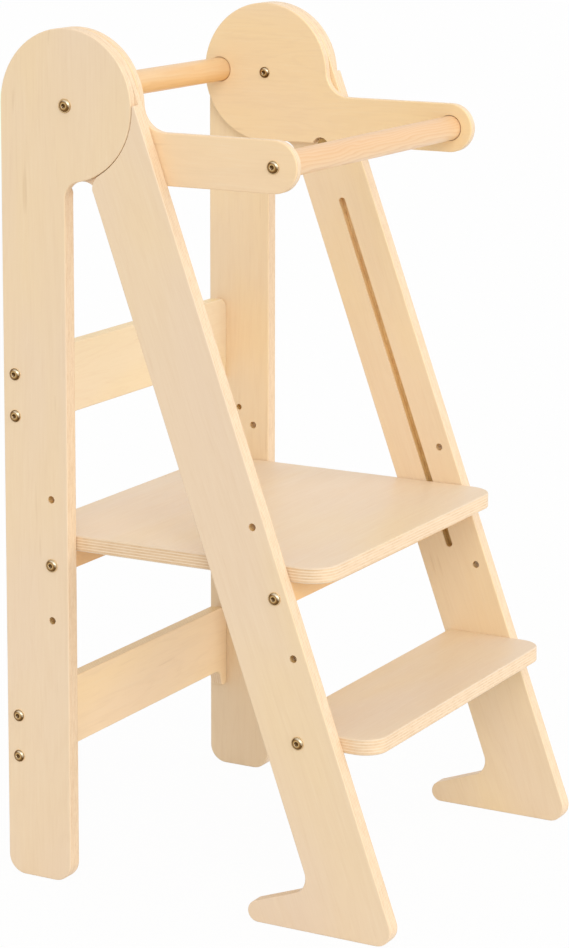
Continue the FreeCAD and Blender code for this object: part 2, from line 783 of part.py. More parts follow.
def end_bores(name, half_length, y, z, face, upright=False):
    """What a board or bar loses at both ends: the bolt's bore, and the nut's from one face."""
    nut_x = half_length - barrel_inset
    bore = barrel_radius + barrel_fit
    half = barrel_length / 2 + barrel_fit
    tools = []
    for label, sign in (("right", 1), ("left", -1)):
        deep, mouth = sign * (half_length - barrel_hole_depth), sign * (half_length + 1)
        low, high = (deep, mouth) if sign > 0 else (mouth, deep)
        tools.append(rod_x("%s_bore_%s" % (name, label), low, high, y, z, bolt_hole_radius))
        if upright:
            nut_hole = rod_z("%s_nut_%s" % (name, label), sign * nut_x, y, face, z + half, bore)
        else:
            nut_hole = rod_y("%s_nut_%s" % (name, label), sign * nut_x, y - half, face, z, bore)
        tools.append(nut_hole)
    return tools


def rail(name, bottom):
    """A back rail with an ear below at each end."""
    body = new_body(name + "_blank")
    sketch = sketch_on(body, "XZ_Plane", -rail_rear_y)
    top = bottom + rail_height
    ear_in = inner_x - ear_width
    right = [
        (inner_x, top),
        (inner_x, bottom - ear_drop),
        (ear_in, bottom - ear_drop),
        (ear_in - ear_radius / 2, bottom),
    ]
    left = [(-x, z) for x, z in reversed(right)]
    draw_polygon(sketch, right + left)
    pad(body, sketch, rail_thickness)
    for sign in (1, -1):
        inner_edge = (sign * (ear_in - ear_radius / 2), bottom)
        fillet(body, along(1, inner_edge), ear_radius)
        fillet(body, along(1, (sign * inner_x, top)), rail_crown)
        fillet(body, along(1, (sign * inner_x, bottom - ear_drop)), ear_tip_radius)
        fillet(body, along(1, (sign * ear_in, bottom - ear_drop)), ear_tip_radius)
    fillet(body, in_planes(1, (rail_rear_y, rail_rear_y - rail_thickness)), edge_round)
    tools = []
    bolts = []
    nuts = []
    for i, rise in enumerate((0, rail_bolt_pitch)):
        height = bottom + rail_bolt_first + rise
        part = "%s_%d" % (name, i)
        tools += end_bores(part, inner_x, rail_bolt_y, height, rail_rear_y + 1)
        bolts.append(button_bolt(part + "_bolt", outer_x, bolt_tip_x, rail_bolt_y, height))
        nuts.append(barrel_nut(part + "_barrel", inner_x - barrel_inset, rail_bolt_y, height))
    node(cut(name, body, tools), name)
    return bolts, nuts


upper_bolts, upper_nuts = rail("upper_back_rail", upper_rail_bottom)
both_sides("upper_rail_bolts", upper_bolts)
both_sides("upper_rail_barrel_nuts", upper_nuts)
lower_bolts, lower_nuts = rail("lower_back_rail", lower_rail_bottom)
both_sides("lower_rail_bolts", lower_bolts)
both_sides("lower_rail_barrel_nuts", lower_nuts)

# ---------------------------------------------------------------- head pivots

solids, socket = button_head("sleeve", outer_x, head_y, pivot_height)
sleeve_end = arm_inner_x + 0.3
solids.append(rod_x("sleeve_tube", sleeve_end, outer_x + head_flange, head_y, pivot_height, sleeve_radius))
sleeve_bore = rod_x("sleeve_bore", sleeve_end - 1, outer_x - 1, head_y, pivot_height, bolt_radius)
both_sides("head_pivot_sleeves", [cut("sleeve_cut", fuse("sleeve_solid", solids), [socket, sleeve_bore])])

inner_head_x = arm_inner_x - 0.2
inner_head = head_solids(
    "screw", inner_head_x, -1, head_y, pivot_height, head_radius_flange - inner_flange_radius
)
inner_head.append(
    rod_x("screw_shank", inner_head_x - head_flange, inner_head_x + 19, head_y, pivot_height, bolt_radius)
)
inner_socket = doc.addObject("Part::Prism", "screw_socket")
inner_socket.Polygon = 6
inner_socket.Placement = FreeCAD.Placement(
    FreeCAD.Vector(), FreeCAD.Rotation(FreeCAD.Vector(0, 1, 0), 90)
)
bind(inner_socket, Circumradius=hex_radius, Height=hex_depth + 1)
place(inner_socket, inner_head_x - head_height - 1, head_y, pivot_height)
both_sides("head_pivot_screws", [cut("screw_cut", fuse("screw_solid", inner_head), [inner_socket])])


def washer(name, start, end):
    ring = rod_x(name + "_ring", start, end, head_y, pivot_height, washer_radius)
    hole = rod_x(
        name + "_hole", start - 1, end + 1, head_y, pivot_height, sleeve_radius + running_fit
    )
    return cut(name + "_washer", ring, [hole])


both_sides(
    "head_lap_washers",
    [washer("lap", rear_half_inner_x - lap_gap + washer_play, rear_half_inner_x)],
)
both_sides(
    "guard_washers", [washer("guard", arm_outer_x, arm_outer_x + guard_gap - washer_play)]
)

# ---------------------------------------------------------------- step


def board(name, half_width, rear_y, front_y, low, thickness, front_corner):
    body = new_body(name + "_blank")
    sketch = sketch_on(body, "XY_Plane", low)
    draw_polygon(
        sketch,
        [
            (-half_width, front_y),
            (half_width, front_y),
            (half_width, rear_y),
            (-half_width, rear_y),
        ],
    )
    pad(body, sketch, thickness)
    for sign in (1, -1):
        fillet(body, along(2, (sign * half_width, front_y)), front_corner)
        fillet(body, along(2, (sign * half_width, rear_y)), edge_round * 2)
    fillet(body, in_planes(2, (low, low + thickness)), edge_round)
    return body


step_bottom = step_top - step_thickness
step_body = board(
    "step", inner_x, step_rear_y, step_front_y, step_bottom, step_thickness, step_corner
)
step_tools = end_bores("step", inner_x, step_bolt_y, step_middle, step_bottom - 1, True)
step_dowels = []
for label, sign in (("right", 1), ("left", -1)):
    deep, mouth = sign * (inner_x - step_dowel_reach), sign * (inner_x + step_dowel_bite)
    low, high = (deep, mouth) if sign > 0 else (mouth, deep)
    name = "step_dowel_" + label
    step_tools.append(rod_x(name + "_bore", low, high, step_dowel_y, step_middle, step_dowel_radius))
    step_dowels.append(rod_x(name, low, high, step_dowel_y, step_middle, step_dowel_radius))
node(cut("step_board", step_body, step_tools), "step_board")
node(compound("step_dowels", step_dowels), "step_dowels")
both_sides("step_bolts", [button_bolt("step_bolt", outer_x, bolt_tip_x, step_bolt_y, step_middle)])
both_sides(
    "step_barrel_nuts",
    [barrel_nut("step_barrel", inner_x - barrel_inset, step_bolt_y, step_middle, True)],
)

# ---------------------------------------------------------------- front cross bar


def cleat(name, half_length, y):
    low = (-half_length, y - cleat_thickness / 2, hole_middle + cleat_rise - cleat_height)
    high = (half_length, y + cleat_thickness / 2, hole_middle + cleat_rise)
    return block(name, low, high)


shoulder_radius = hole_radius - running_fit
front_bar_tools = end_bores(
    "front_bar", inner_x, front_bar_y, hole_middle, front_bar_y + cleat_thickness / 2 + 1
)
node(cut("front_cross_bar", cleat("front_bar", inner_x, front_bar_y), front_bar_tools), "front_cross_bar")
both_sides(
    "front_bar_bolts",
    [
        button_bolt(
            "front_bar_bolt", outer_x, bolt_tip_x, front_bar_y, hole_middle, inner_x, shoulder_radius
        )
    ],
)
both_sides(
    "front_bar_barrel_nuts",
    [barrel_nut("front_bar_barrel", inner_x - barrel_inset, front_bar_y, hole_middle)],
)

# ---------------------------------------------------------------- guard bumpers

bumper_y = head_y - bumper_forward
bumper_z = pivot_height - bumper_drop
both_sides(
    "guard_rest_bumpers",
    [
        fuse(
            "bumper",
            [
                rod_x("bumper_pad", inner_x - bumper_length, inner_x, bumper_y, bumper_z, bumper_radius),
                rod_x(
                    "bumper_peg",
                    inner_x - 1,
                    inner_x + bumper_peg_length,
                    bumper_y,
                    bumper_z,
                    bumper_peg_radius,
                ),
            ],
        )
    ],
)

# ---------------------------------------------------------------- platform

board_top = board_bottom + platform_thickness
platform_body = board(
    "platform",
    platform_half,
    platform_rear_y,
    platform_front_y,
    board_bottom,
    platform_thickness,
    platform_corner,
)
screw_places = [sign * x for sign in (1, -1) for x in (cleat_screw_near, platform_half - cleat_screw_inset)]
cleat_bottom = board_bottom - cleat_height
screw_tip = board_bottom + screw_bite
screw_seat = cleat_bottom + screw_head_height + 1
platform_tools = []
rear_bar_tools = end_bores(
    "rear_bar", platform_half, pivot_y, hole_middle, pivot_y + cleat_thickness / 2 + 1
)
cleat_screws = []
for i, x in enumerate(screw_places):
    name = "cleat_screw_%d" % i
    hole = screw_radius + screw_hole_fit
    platform_tools.append(rod_z(name + "_pilot", x, pivot_y, board_bottom - 1, screw_tip + 1, hole))
    rear_bar_tools.append(rod_z(name + "_hole", x, pivot_y, cleat_bottom - 1, board_bottom + 1, hole))
    head_hole = screw_head_radius + screw_hole_fit
    rear_bar_tools.append(rod_z(name + "_sink", x, pivot_y, cleat_bottom - 1, screw_seat, head_hole))
    cleat_screws.append(
        wood_screw(name, screw_seat - screw_head_height, screw_tip, "z", x, pivot_y)
    )
guide_pins = []
for label, sign in (("right", 1), ("left", -1)):
    deep = sign * (platform_half - guide_pin_bite)
    mouth = sign * (platform_half + guide_pin_stub)
    low, high = (deep, mouth) if sign > 0 else (mouth, deep)
    name = "guide_pin_" + label
    platform_tools.append(rod_x(name + "_bore", low, high, guide_y, board_middle, guide_pin_radius))
    guide_pins.append(rod_x(name, low, high, guide_y, board_middle, guide_pin_radius))
node(cut("platform_board", platform_body, platform_tools), "platform_board")
node(cut("rear_cross_bar", cleat("rear_bar", platform_half, pivot_y), rear_bar_tools), "rear_cross_bar")
node(compound("cross_bar_screws", cleat_screws), "cross_bar_screws")
node(compound("platform_guide_pins", guide_pins), "platform_guide_pins")
both_sides(
    "platform_pivot_bolts",
    [
        button_bolt(
            "platform_bolt",
            outer_x + washer_play,
            platform_half - barrel_inset - bolt_past_nut,
            pivot_y,
            hole_middle,
            platform_half,
            shoulder_radius,
        )
    ],
)
both_sides(
    "platform_barrel_nuts",
    [barrel_nut("platform_barrel", platform_half - barrel_inset, pivot_y, hole_middle)],
)

bush_start = inner_x + bush_clearance
bush_end = inner_x + slot_depth - bush_clearance
bush = cut(
    "bush_cut",
    rod_x("bush_tube", bush_start, bush_end, guide_y, board_middle, slot_width / 2 - bush_clearance),
    [
        rod_x(
            "bush_bore",
            bush_start - 1,
            bush_end + 1,
            guide_y,
            board_middle,
            guide_pin_radius - bush_clearance,
        )
    ],
)
both_sides("guide_bushes", [bush])

# ---------------------------------------------------------------- guard

arm = new_body("guard_arm_right")
sketch = sketch_on(arm, "YZ_Plane", arm_inner_x)
draw_polygon(
    sketch,
    [
        (as_size(0), -arm_low),
        (-arm_reach, -arm_low),
        (-arm_reach, -arm_top_drop),
        (as_size(0), -arm_top_drop),
    ],
)
pad(arm, sketch, arm_thickness)
sketch = sketch_on(arm, "YZ_Plane", arm_inner_x)
draw_circle(sketch, 0, 0, disc_radius)
pad(arm, sketch, arm_thickness)
sketch = sketch_on(arm, "YZ_Plane", arm_inner_x)
draw_circle(sketch, -arm_reach, -arm_drop, arm_half)
pad(arm, sketch, arm_thickness)
fillet(arm, along(0, (-arm_meets, -arm_top_drop)), arm_fillet)
fillet(arm, along(0, (-arm_leaves, -arm_low)), arm_blend)
fillet(arm, in_planes(0, (arm_inner_x, arm_outer_x)), edge_round)
drill(arm, arm_inner_x, arm_thickness, [(-notch_forward, -notch_drop)], notch_radius)
drill(arm, arm_inner_x, arm_thickness, [(0, 0)], sleeve_radius + running_fit)
drill(
    arm,
    arm_inner_x,
    dowel_pocket,
    [(-arm_reach, -arm_drop), (dowel_back, dowel_rise)],
    dowel_radius + dowel_fit,
)
drill(arm, arm_inner_x + dowel_pocket, arm_thickness, [(-arm_reach, -arm_drop)], bolt_hole_radius)
drill(
    arm,
    arm_inner_x + dowel_pocket,
    arm_thickness,
    [(dowel_back, dowel_rise)],
    screw_radius + screw_hole_fit,
)
screw_sink = screw_head_height + 0.4
drill(
    arm,
    arm_outer_x - screw_sink,
    arm_thickness,
    [(dowel_back, dowel_rise)],
    screw_head_radius + screw_hole_fit,
)
place(arm, 0, head_y, pivot_height)
node(arm, "guard_arm_right")
node(mirrored("guard_arm_left", arm), "guard_arm_left")


def guard_dowel(name, y, z, bores):
    """A round bar between the arms; bores are (depth, radius) at both ends."""
    tools = []
    for i, (depth, radius) in enumerate(bores):
        for label, sign in (("right", 1), ("left", -1)):
            deep, mouth = sign * (dowel_end_x - depth), sign * (dowel_end_x + 1)
            low, high = (deep, mouth) if sign > 0 else (mouth, deep)
            tools.append(rod_x("%s_bore_%d_%s" % (name, i, label), low, high, y, z, radius))
    bar = rod_x(name + "_bar", -dowel_end_x, dowel_end_x, y, z, dowel_radius)
    return node(cut(name, bar, tools), name)


guard_dowel(
    "guard_front_dowel",
    front_dowel_y,
    front_dowel_z,
    [(insert_length, insert_radius), (dowel_screw_bite + 1, bolt_hole_radius)],
)
guard_dowel(
    "guard_rear_dowel",
    rear_dowel_y,
    rear_dowel_z,
    [(dowel_screw_bite + 1, screw_radius + screw_hole_fit)],
)
both_sides(
    "front_dowel_bolts",
    [
        button_bolt(
            "dowel_bolt", arm_outer_x, dowel_end_x - dowel_screw_bite, front_dowel_y, front_dowel_z
        )
    ],
)
insert = cut(
    "insert_cut",
    rod_x(
        "insert_tube", dowel_end_x - insert_length, dowel_end_x, front_dowel_y, front_dowel_z, insert_radius
    ),
    [
        rod_x(
            "insert_bore",
            dowel_end_x - insert_length - 1,
            dowel_end_x + 1,
            front_dowel_y,
            front_dowel_z,
            bolt_radius,
        )
    ],
)
both_sides("front_dowel_inserts", [insert])
screw_top = arm_outer_x - 0.3
both_sides(
    "rear_dowel_screws",
    [wood_screw("dowel_screw", screw_top, dowel_end_x - dowel_screw_bite, "x", rear_dowel_y, rear_dowel_z)],
)

# ---------------------------------------------------------------- checks and files

doc.recompute()
for feature in doc.Objects:
    if "Invalid" in feature.State or "Error" in feature.State:
        raise RuntimeError("%s failed: %s" % (feature.Label, feature.State))
for feature in nodes:
    shape = feature.Shape
    if shape.isNull() or not shape.isValid() or not shape.Solids:
        raise RuntimeError("%s has no valid solid" % feature.Label)

os.makedirs("parts", exist_ok=True)
for feature in nodes:
    feature.Shape.exportStep("parts/%s.step" % feature.Label)
    print("%-24s %2d solids %12.1f mm3" % (feature.Label, len(feature.Shape.Solids), feature.Shape.Volume))

# how far each motion goes, from the same sizes
fold = front_leg_angle.value
lift = math.degrees(
    math.acos(fold_reach.value / math.sqrt(guide_reach_squared.value))
    - math.asin(guide_rise.value / math.sqrt(guide_reach_squared.value))
)
slide = guide_run.value - (pivot_height.value - hole_middle.value - fold_rise.value)
print("head pivot at y %.3f z %.3f" % (head_y.value, pivot_height.value))
print("platform pivot at y %.3f z %.3f" % (pivot_y.value, hole_middle.value))
print("front frame folds %.3f deg, platform lifts %.3f deg, bush slides %.3f mm" % (fold, lift, slide))
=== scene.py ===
import json
import math

import bmesh
import bpy
from mathutils import Matrix, Vector

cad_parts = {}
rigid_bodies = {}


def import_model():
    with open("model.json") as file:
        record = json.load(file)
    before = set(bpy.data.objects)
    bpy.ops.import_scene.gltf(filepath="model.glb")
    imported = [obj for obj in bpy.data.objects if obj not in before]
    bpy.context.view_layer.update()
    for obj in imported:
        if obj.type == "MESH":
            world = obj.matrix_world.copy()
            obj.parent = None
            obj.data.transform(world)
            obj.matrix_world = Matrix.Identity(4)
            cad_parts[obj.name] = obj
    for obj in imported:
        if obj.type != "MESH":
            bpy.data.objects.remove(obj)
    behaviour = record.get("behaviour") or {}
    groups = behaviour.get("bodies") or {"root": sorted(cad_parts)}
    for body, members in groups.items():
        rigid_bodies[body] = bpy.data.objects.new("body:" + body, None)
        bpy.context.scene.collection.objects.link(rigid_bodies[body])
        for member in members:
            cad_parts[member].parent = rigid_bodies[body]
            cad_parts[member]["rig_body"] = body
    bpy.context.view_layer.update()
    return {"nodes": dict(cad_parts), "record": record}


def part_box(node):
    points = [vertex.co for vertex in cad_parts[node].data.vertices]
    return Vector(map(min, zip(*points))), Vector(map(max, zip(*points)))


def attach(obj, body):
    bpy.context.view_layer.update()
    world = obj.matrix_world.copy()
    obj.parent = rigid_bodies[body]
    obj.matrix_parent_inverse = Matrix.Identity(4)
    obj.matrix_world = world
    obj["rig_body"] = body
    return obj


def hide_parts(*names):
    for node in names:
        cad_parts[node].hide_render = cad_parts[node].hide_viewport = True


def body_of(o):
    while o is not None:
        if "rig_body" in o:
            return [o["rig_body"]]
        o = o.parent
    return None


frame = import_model()
scene = bpy.context.scene

MM = 0.001
AXES = {"x": 0, "y": 1, "z": 2}

# ---------------------------------------------------------------- node trees


def linear(red, green, blue):
    """An 8-bit colour as linear RGBA."""
    channels = []
    for value in (red, green, blue):
        value /= 255
        channels.append(value / 12.92 if value <= 0.04045 else ((value + 0.055) / 1.055) ** 2.4)
    return (*channels, 1.0)


class Tree:
    """Adds nodes to a node tree. Colours are given as 8-bit (red, green, blue)."""

    def __init__(self, tree):
        self.nodes = tree.nodes
        self.links = tree.links
        self.nodes.clear()

    def node(self, kind, links=None, values=None, **settings):
        made = self.nodes.new(kind)
        for key, value in settings.items():
            setattr(made, key, value)
        for key, value in (values or {}).items():
            made.inputs[key].default_value = value
        for key, source in (links or {}).items():
            self.links.new(source, made.inputs[key])
        return made

    def math(self, operation, *operands):
        made = self.node("ShaderNodeMath", operation=operation)
        for slot, value in enumerate(operands):
            if isinstance(value, (int, float)):
                made.inputs[slot].default_value = value
            else:
                self.links.new(value, made.inputs[slot])
        return made.outputs[0]

    def times(self, a, b):
        return self.math("MULTIPLY", a, b)

    def greater(self, a, b):
        return self.math("MAXIMUM", a, b)

    def parts(self, vector):
        """The X, Y and Z sockets of a vector."""
        return self.node("ShaderNodeSeparateXYZ", {"Vector": vector}).outputs

    def noise(self, vector, scale=1.0, detail=3.0, roughness=0.5, distortion=0.0):
        return self.node(
            "ShaderNodeTexNoise",
            {"Vector": vector},
            {"Scale": scale, "Detail": detail, "Roughness": roughness, "Distortion": distortion},
        ).outputs[0]

    def ramp(self, factor, stops):
        """A colour ramp of two or more (position, colour) stops."""
        made = self.node("ShaderNodeValToRGB", {"Fac": factor})
        elements = made.color_ramp.elements
        for position, _ in stops[1:-1]:
            elements.new(position)
        elements[0].position = stops[0][0]
        elements[-1].position = stops[-1][0]
        for element, (_, colour) in zip(elements, stops):
            element.color = linear(*colour)
        return made.outputs[0]

    def span(self, value, low, high, to_low=0.0, to_high=1.0):
        """value carried from the range low to high over to the range to_low to to_high."""
        return self.node(
            "ShaderNodeMapRange",
            {"Value": value},
            {"From Min": low, "From Max": high, "To Min": to_low, "To Max": to_high},
        ).outputs[0]

    def mix(self, factor, a, b):
        """The colour a turned towards b by factor, where b or both may be sockets."""
        made = self.node("ShaderNodeMix", data_type="RGBA")
        self.links.new(factor, made.inputs[0])
        for slot, colour in ((6, a), (7, b)):
            if isinstance(colour, tuple):
                made.inputs[slot].default_value = linear(*colour)
            else:
                self.links.new(colour, made.inputs[slot])
        return made.outputs[2]

    def seen_by(self, *rays):
        """1 on the kinds of ray named, else 0."""
        path = self.node("ShaderNodeLightPath").outputs
        seen = path[rays[0]]
        for ray in rays[1:]:
            seen = self.greater(seen, path[ray])
        return seen


class Surface(Tree):
    """A material round one Principled shader. place is the object's own space in metres."""

    def __init__(self, name):
        self.material = bpy.data.materials.new(name)
        self.material.use_nodes = True
        super().__init__(self.material.node_tree)
        self.shader = self.node("ShaderNodeBsdfPrincipled")
        self.output = self.node("ShaderNodeOutputMaterial", {0: self.shader.outputs[0]})
        coordinates = self.node("ShaderNodeTexCoord").outputs
        self.place = coordinates["Object"]
        self.normal = coordinates["Normal"]

    def mapped(self, scale, rotation=(0, 0, 0), location=(0, 0, 0)):
        return self.node(
            "ShaderNodeMapping",
            {"Vector": self.place},
            {"Scale": scale, "Rotation": rotation, "Location": location},
        ).outputs[0]

    def set(self, values):
        for name, value in values.items():
            self.shader.inputs[name].default_value = value

    def link(self, name, source):
        self.links.new(source, self.shader.inputs[name])

    def bump(self, height, strength, distance):
        values = {"Strength": strength, "Distance": distance}
        self.link("Normal", self.node("ShaderNodeBump", {"Height": height}, values).outputs[0])


# ---------------------------------------------------------------- plywood

# the veneer, and the thin marks on it
VENEER = ((0.30, (235, 210, 181)), (0.48, (237, 212, 180)), (0.68, (239, 213, 174)))
FLOW_LINE = (228, 197, 160)
DARK_FIBRE = (224, 192, 152)
PALE_FIBRE = (250, 230, 202)
FLECK = (204, 168, 124)
DRAWN_OUT = 0.11
FLOW_LINES = 40.0

# the cut edges: plies whose grain runs along and across, and the glue between them
LIGHT_PLY = ((0.35, (240, 214, 182)), (0.62, (245, 222, 193)))
DARK_PLY = ((0.34, (229, 196, 155)), (0.56, (240, 211, 174)))
GLUE = (176, 134, 90)
PLAIN_LINES = 0.42
BOLD_PLY = (206, 166, 116)
# a painted light for cut edges that lie in shade
PAINTED_LIT_EDGE = (255, 234, 184)
GOLDEN_PLY = (214, 148, 78)
STREAKS_PER_METRE = 60.0
NEXT_PLY = 7.31
GLUE_SHARE = 0.16
VENEER_DEPTH = 0.93

# what the cutter scorched, the painted shade in the bores and the slot that darkens lower down,
# and the heights between which these are looked for along the slot
BURNT = ((0.35, (232, 192, 128)), (0.65, (255, 226, 164)))
SHADE_LOW_IN_HOLLOWS = (160, 126, 72)
SLOT_REACHES = (0.20, 0.72)


class Plywood(Surface):
    """Lacquered birch ply on one CAD node. across is the thickness axis and grain the face's long
    axis, which tilt turns about X."""

    def __init__(self, node, across, plies, grain, seed, tilt=0.0):
        super().__init__(node + "_ply")
        self.plies = plies
        self.across = AXES[across]
        self.along = AXES[grain]
        low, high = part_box(node)
        self.low = low[self.across]
        self.thickness = high[self.across] - self.low
        self.turned = self.mapped((1, 1, 1), (tilt, 0, 0), (seed, seed * 0.7, seed * 1.3))
        self.at = self.parts(self.place)

    def figure(self, scale, detail=3.0, roughness=0.55, distortion=0.0, pull=1.0):
        """Noise drawn out along the grain, the more so the larger pull is."""
        shape = [1.0, 1.0, 1.0]
        shape[self.along] = DRAWN_OUT**pull
        moved = self.node("ShaderNodeMapping", {"Vector": self.turned}, {"Scale": shape})
        return self.noise(moved.outputs[0], scale, detail, roughness, distortion)

    def veneer(self, shift, fibre):
        """Broad pinkish and yellowish areas, a faint flowing figure, fine fibre and a few flecks.
        shift is added to the colour."""
        stops = [(at, tuple(c + s for c, s in zip(colour, shift))) for at, colour in VENEER]
        colour = self.ramp(self.figure(9, 2.0, 0.5, 0.3, 0.5), stops)
        bands = self.math("SINE", self.times(self.figure(24, 4.0, 0.55, 1.1), FLOW_LINES))
        colour = self.mix(self.span(bands, 0.3, 1.0, 0.0, 0.10), colour, FLOW_LINE)
        colour = self.mix(self.span(fibre, 0.54, 0.76, 0.0, 0.14), colour, DARK_FIBRE)
        colour = self.mix(self.span(fibre, 0.46, 0.28, 0.0, 0.16), colour, PALE_FIBRE)
        fleck = self.figure(130, 1.0, 0.5, 0.0, 1.1)
        return self.mix(self.span(fleck, 0.73, 0.80, 0.0, 0.22), colour, FLECK)

    def streaks(self, ply):
        """Noise along the plies, different in each."""
        steps = {}
        for i in range(3):
            if i == self.across:
                steps[i] = self.times(ply, NEXT_PLY)
            else:
                steps[i] = self.times(self.at[i], STREAKS_PER_METRE)
        return self.noise(self.node("ShaderNodeCombineXYZ", steps).outputs[0], 1.0, 5.0, 0.7)

    def scorch_and_shade(self, bores, slot):
        """1 in the bores, each (Y, Z, radius), and up to 1 in the slot (point, direction, half
        its width), more so lower down: a mask for the cutter's scorch together with painted shade
        inside these hollows. None where there are neither."""
        found = []
        flat = self.node("ShaderNodeCombineXYZ", {1: self.at[1], 2: self.at[2]}).outputs[0]
        for y, z, radius in bores:
            away = self.node("ShaderNodeVectorMath", {0: flat}, {1: (0.0, y, z)}, operation="DISTANCE")
            found.append(self.span(away.outputs["Value"], radius + 0.6 * MM, radius + 0.2 * MM))
        if slot:
            (y, z), (down_y, down_z), half = slot
            away = self.math("MULTIPLY_ADD", self.at[1], down_z, z * down_y - y * down_z)
            away = self.math("MULTIPLY_ADD", self.at[2], -down_y, away)
            near = self.span(self.math("ABSOLUTE", away), half + 0.7 * MM, half + 0.2 * MM)
            lowest, highest = SLOT_REACHES
            near = self.times(near, self.span(self.at[2], lowest, lowest + 0.01))
            near = self.times(near, self.span(self.at[2], highest, highest - 0.01))
            found.append(self.times(near, self.span(self.at[2], 0.64, 0.34, 0.6, 1.0)))
        most = found[0] if found else None
        for near in found[1:]:
            most = self.greater(most, near)
        return most


def plywood(
    node,
    across,
    plies,
    grain,
    seed,
    shift,
    tilt=0.0,
    lines=PLAIN_LINES,
    bold=None,
    strong=1.0,
    golden_and_lit=0.0,
    bores=(),
    slot=None,
):
    """The material of a sheet. lines is how plainly the glue shows on its edges. On the edges that
    face along bold it shows more by strong, and golden_and_lit turns their plies golden and paints
    light onto them, which brightens those edges where they lie in shade."""
    g = Plywood(node, across, plies, grain, seed, tilt)
    fibre = g.figure(380, 2.0, 0.6, 0.0, 1.3)
    colour = g.veneer(shift, fibre)

    # which ply a point is in, counted in plies from one face, with a slight wander
    depth = g.math("MULTIPLY_ADD", g.at[g.across], 1 / g.thickness, -g.low / g.thickness)
    wander = g.times(g.math("SUBTRACT", g.noise(g.turned, 14, 2.0), 0.5), 0.02)
    depth = g.times(g.math("ADD", depth, wander), float(plies))
    ply = g.math("FLOOR", depth)
    within = g.math("FRACT", depth)
    odd = g.math("MODULO", ply, 2.0)

    streak = g.streaks(ply)
    edge = g.mix(odd, g.ramp(streak, LIGHT_PLY), g.ramp(streak, DARK_PLY))
    dash = g.span(streak, 0.42, 0.60, lines, 0.0)
    if bold:
        slope = g.math("ABSOLUTE", g.parts(g.normal)[AXES[bold]])
        facing = g.span(slope, 0.5, 0.95, 0.0, strong)
        dash = g.greater(dash, g.times(facing, g.span(streak, 0.3, 0.7, 0.95, 0.45)))
        if golden_and_lit:
            # painted light: the edges facing along bold are brightened and warmed where they lie in shade
            edge = g.mix(g.span(slope, 0.5, 0.95, 0.0, golden_and_lit), edge, PAINTED_LIT_EDGE)
        edge = g.mix(g.times(facing, g.times(odd, 0.45)), edge, GOLDEN_PLY if golden_and_lit else BOLD_PLY)
    glue = g.greater(g.span(within, GLUE_SHARE, 0.0), g.span(within, 1 - GLUE_SHARE, 1.0))
    edge = g.mix(g.times(glue, dash), edge, GLUE)

    scorch_and_shade = g.scorch_and_shade(bores, slot)
    if scorch_and_shade is not None:
        # painted shade in the bores and the slot, darker lower down, over the scorch colour
        shade_lower_down = g.span(g.at[2], 0.50, 0.32, 0.0, 0.4)
        edge = g.mix(scorch_and_shade, edge, g.mix(shade_lower_down, g.ramp(streak, BURNT), SHADE_LOW_IN_HOLLOWS))

    inner = g.times(
        g.span(depth, VENEER_DEPTH, 1.0), g.span(depth, plies - VENEER_DEPTH, plies - 1.0)
    )
    g.link("Base Color", g.mix(inner, colour, edge))
    g.link("Roughness", g.span(g.figure(60), 0.3, 0.7, 0.40, 0.52))
    g.set({"Specular IOR Level": 0.38, "Coat Weight": 0.12, "Coat Roughness": 0.28})
    g.bump(g.math("ADD", g.times(fibre, 0.6), g.times(glue, -0.25)), 0.08, 0.3 * MM)
    return g.material


# ---------------------------------------------------------------- the other materials

LATE_WOOD = (220, 166, 112)
FINE_LINE = (226, 182, 130)


def turned_wood(node, spacing, contrast, lean, seed, pale, deep, painted_under_light, painted_under_share):
    """A lacquered softwood bar along X. Growth rings run out along its length in long wavy lines,
    and its underside is turned towards another colour, a painted light and shade for the bounce
    light and shade that fall under the bar."""
    g = Surface(node + "_wood")
    low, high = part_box(node)
    at = g.parts(g.place)
    slow = g.noise(g.mapped((3.6, 18, 18), (0, 0, 0), (seed, seed, 0)), 1.0, 3.0, 0.55, 0.8)
    rise = g.math("MULTIPLY_ADD", at[2], math.sin(lean), g.times(at[1], math.cos(lean)))
    ring = g.math("FRACT", g.math("MULTIPLY_ADD", rise, 1 / spacing, g.times(slow, 9.0)))
    late = g.times(g.span(ring, 0.35, 0.9), g.span(ring, 1.0, 0.92))
    tone = g.noise(g.mapped((5, 60, 60), (0, 0, 0), (seed, 0, 0)), 1.0, 3.0, 0.6)
    fine = g.noise(g.mapped((30, 900, 900)), 1.0, 2.0, 0.6)
    height = g.math("MULTIPLY_ADD", tone, 8 * MM, at[2])
    below = g.span(height, high[2] - 6 * MM, low[2] + 6 * MM)
    colour = g.ramp(tone, ((0.35, deep), (0.65, pale)))
    # painted light and shade on the underside: paler under the front dowel, orange under the rear one
    colour = g.mix(g.times(below, painted_under_share), colour, painted_under_light)
    colour = g.mix(g.times(late, contrast), colour, LATE_WOOD)
    g.link("Base Color", g.mix(g.span(fine, 0.52, 0.75, 0.0, 0.25), colour, FINE_LINE))
    g.link("Roughness", g.span(tone, 0.3, 0.7, 0.36, 0.48))
    g.set({"Specular IOR Level": 0.4, "Coat Weight": 0.15, "Coat Roughness": 0.25})
    g.bump(g.math("SUBTRACT", fine, late), 0.08, 0.4 * MM)
    return g.material


def metal(name, clean, worn, roughness):
    g = Surface(name)
    cloud = g.noise(g.place, 260, 4.0, 0.6)
    g.link("Base Color", g.ramp(cloud, ((0.38, clean), (0.68, worn))))
    g.link("Roughness", g.span(cloud, 0.3, 0.7, roughness - 0.06, roughness + 0.1))
    g.set({"Metallic": 1.0})
    g.bump(g.noise(g.mapped((900, 60, 60)), 1.0, 3.0, 0.6), 0.05, 0.2 * MM)
    return g.material


